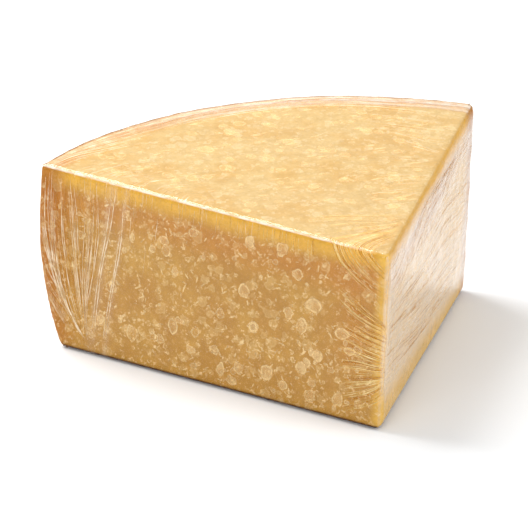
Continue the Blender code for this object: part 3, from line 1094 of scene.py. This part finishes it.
def makeFilmMaterial():
    material, tree, objectPlace = newMaterial("clearFilm")
    foldPlace = {"Across": mask(tree, "acrossFolds"), "Along": mask(tree, "alongFolds")}
    streakShare, veilShare = mask(tree, "streakShare"), mask(tree, "veilShare")
    wide = useGroup(tree, streakField, {**foldPlace, **film["wideFolds"]})
    fine = useGroup(tree, streakField, {**foldPlace, **film["fineFolds"]})
    lines = math2(tree, "MAXIMUM", wide["Line"], times(tree, fine["Line"], 0.7))
    lines = times(tree, lines, streakShare)
    rumple = noiseField(tree, objectPlace, film["rumple"])
    ripple = noiseField(tree, objectPlace, film["ripple"])
    loose = remap(tree, mask(tree, "calmShare"), 0.0, 1.0, 1.0, 0.25)
    swells = film["swells"]
    height = plus(
        tree, times(tree, wide["Swell"], streakShare, swells["wide"]),
        times(tree, fine["Swell"], streakShare, swells["fine"]),
        times(tree, rumple, loose, swells["rumple"]),
        times(tree, ripple, mask(tree, "rippleShare"), swells["ripple"]),
    )
    relief = bumps(tree, height, film["relief"])
    gapped = oneMinus(tree, times(tree, lines, 0.75))
    patchy = plus(tree, times(tree, remap(tree, rumple, 0.3, 0.7, -0.25, 0.25), loose), 0.7)
    veil = times(tree, veilShare, patchy, gapped)
    broken = remap(tree, rumple, 0.34, 0.6, 0.45, 1.0)
    # the painted edge highlight, broken by the rumple
    veil = plus(tree, veil, times(tree, mask(tree, "edgeHighlightShare"), broken, 0.9), clamp=True)
    edgeOn = addNode(tree, "Fresnel", {"IOR": film["ior"], "Normal": relief})
    front = oneMinus(tree, addNode(tree, "NewGeometry").outputs["Backfacing"])
    shine = times(tree, edgeOn.outputs[0], film["gloss"], front, mask(tree, "shineShare"))
    clear = addNode(tree, "BsdfTransparent")
    milky = addNode(
        tree, "BsdfPrincipled",
        {"Base Color": film["veilTone"], "Roughness": film["veilRoughness"]},
    )
    gloss = addNode(
        tree, "BsdfAnisotropic",
        {"Color": (1, 1, 1, 1), "Roughness": film["roughness"], "Normal": relief},
    )
    veiled = addNode(
        tree, "MixShader", {0: veil, 1: clear.outputs[0], 2: milky.outputs[0]}
    )
    shiny = addNode(
        tree, "MixShader", {0: shine, 1: veiled.outputs[0], 2: gloss.outputs[0]}
    )
    showShader(tree, shiny)
    return material


filmSkin = wedgeSkin(film["cuts"], 0.0, film["smoothing"])
filmSurface = BVHTree.FromBMesh(filmSkin)
noise.seed_set(crease["seed"])  # without it, the stray of the creases follows the clock
creases = creaseLines(filmSurface)
print("crease lines laid:", len(creases))
foldFilm(filmSkin, creases)
filmPiece = finishPiece("film", filmSkin, makeFilmMaterial())
paintMasks(
    filmPiece,
    ["acrossFolds", "alongFolds", "streakShare", "veilShare", "edgeHighlightShare", "shineShare",
     "calmShare", "rippleShare"], filmMasks,
)
creasePiece = makeCreases(creases, makeCreaseMaterial())
print("film and creases made")

for piece in (cheesePiece, crystalAndGlintPiece, filmPiece, creasePiece):
    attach(piece, "root")
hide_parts("wrapped_cheese")

# Floor, light and camera
room = {
    "floorSize": 9.0,
    "floorTone": (0.92, 0.935, 0.95, 1),
    "floorRoughness": 0.9,
    "floorSheen": 0.2,
    "paper": {"Scale": 300.0},
    "paperRelief": {"Strength": 0.05, "Distance": 0.0005},
    "sky": 0.62,
    "softboxes": {
        "overhead": {"at": (-0.45, 0.75, 1.2), "size": 0.9, "power": 21.0},
        "leftFront": {"at": (-1.3, -1.1, 0.9), "size": 0.8, "power": 7.0},
        "rightFront": {"at": (1.3, -0.9, 0.8), "size": 1.0, "power": 7.6},
    },
}
camera = {
    "azimuth": -23.49, "elevation": 21.62, "roll": 2.19,
    "focus": (0, 115.5, 52.5), "focusDistance": 1.873,
    "focusPixel": (295.619, 258.209), "imageSize": 528, "focalPixels": 3499.8, "sensor": 36.0,
    "clip": (0.05, 40),
}


def makeFloor():
    bm = bmesh.new()
    bmesh.ops.create_grid(bm, x_segments=2, y_segments=2, size=room["floorSize"] / 2)
    material, tree, objectPlace = newMaterial("paleFloor")
    paper = noiseField(tree, objectPlace, room["paper"])
    shader = addNode(
        tree, "BsdfPrincipled",
        {"Base Color": room["floorTone"], "Roughness": room["floorRoughness"],
         "Normal": bumps(tree, paper, room["paperRelief"]),
         "Specular IOR Level": room["floorSheen"]},
    )
    showShader(tree, shader)
    floor = finishPiece("floor", bm, material)


def makeLights():
    world = bpy.data.worlds.new("paleRoom")
    world.use_nodes = True
    background = world.node_tree.nodes["Background"]
    background.inputs["Color"].default_value = (1, 1, 1, 1)
    background.inputs["Strength"].default_value = room["sky"]
    bpy.context.scene.world = world
    for name, box in room["softboxes"].items():
        light = bpy.data.lights.new(name, "AREA")
        light.shape = "SQUARE"
        light.size = box["size"]
        light.energy = box["power"]
        lamp = bpy.data.objects.new(name, light)
        lamp.location = box["at"]
        lamp.rotation_euler = (-Vector(box["at"])).to_track_quat("-Z", "Y").to_euler()
        bpy.context.scene.collection.objects.link(lamp)


def makeCamera():
    turns = ("azimuth", "elevation", "roll")
    azimuth, elevation, roll = (math.radians(camera[name]) for name in turns)
    back = Vector((
        math.sin(azimuth) * math.cos(elevation), -math.cos(azimuth) * math.cos(elevation),
        math.sin(elevation),
    ))
    level = (-back).cross(upward).normalized()
    above = level.cross(-back)
    right = level * math.cos(roll) + above * math.sin(roll)
    top = above * math.cos(roll) - level * math.sin(roll)
    middle = camera["imageSize"] / 2
    perPixel = camera["focusDistance"] / camera["focalPixels"]
    offRight, offDown = ((pixel - middle) * perPixel for pixel in camera["focusPixel"])
    place = wheelAxis + Vector(camera["focus"]) * mm + back * camera["focusDistance"]
    place += top * offDown - right * offRight
    data = bpy.data.cameras.new("photoCamera")
    data.sensor_width = camera["sensor"]
    data.lens = camera["focalPixels"] * camera["sensor"] / camera["imageSize"]
    data.clip_start, data.clip_end = camera["clip"]
    eye = bpy.data.objects.new("photoCamera", data)
    turned = Matrix((right, top, back)).transposed().to_4x4()
    eye.matrix_world = Matrix.Translation(place) @ turned
    bpy.context.scene.collection.objects.link(eye)
    bpy.context.scene.camera = eye


makeFloor()
makeLights()
makeCamera()
bpy.context.scene.view_settings.view_transform = "Standard"
bpy.context.scene.view_settings.look = "None"
print("floor, lights and camera placed")
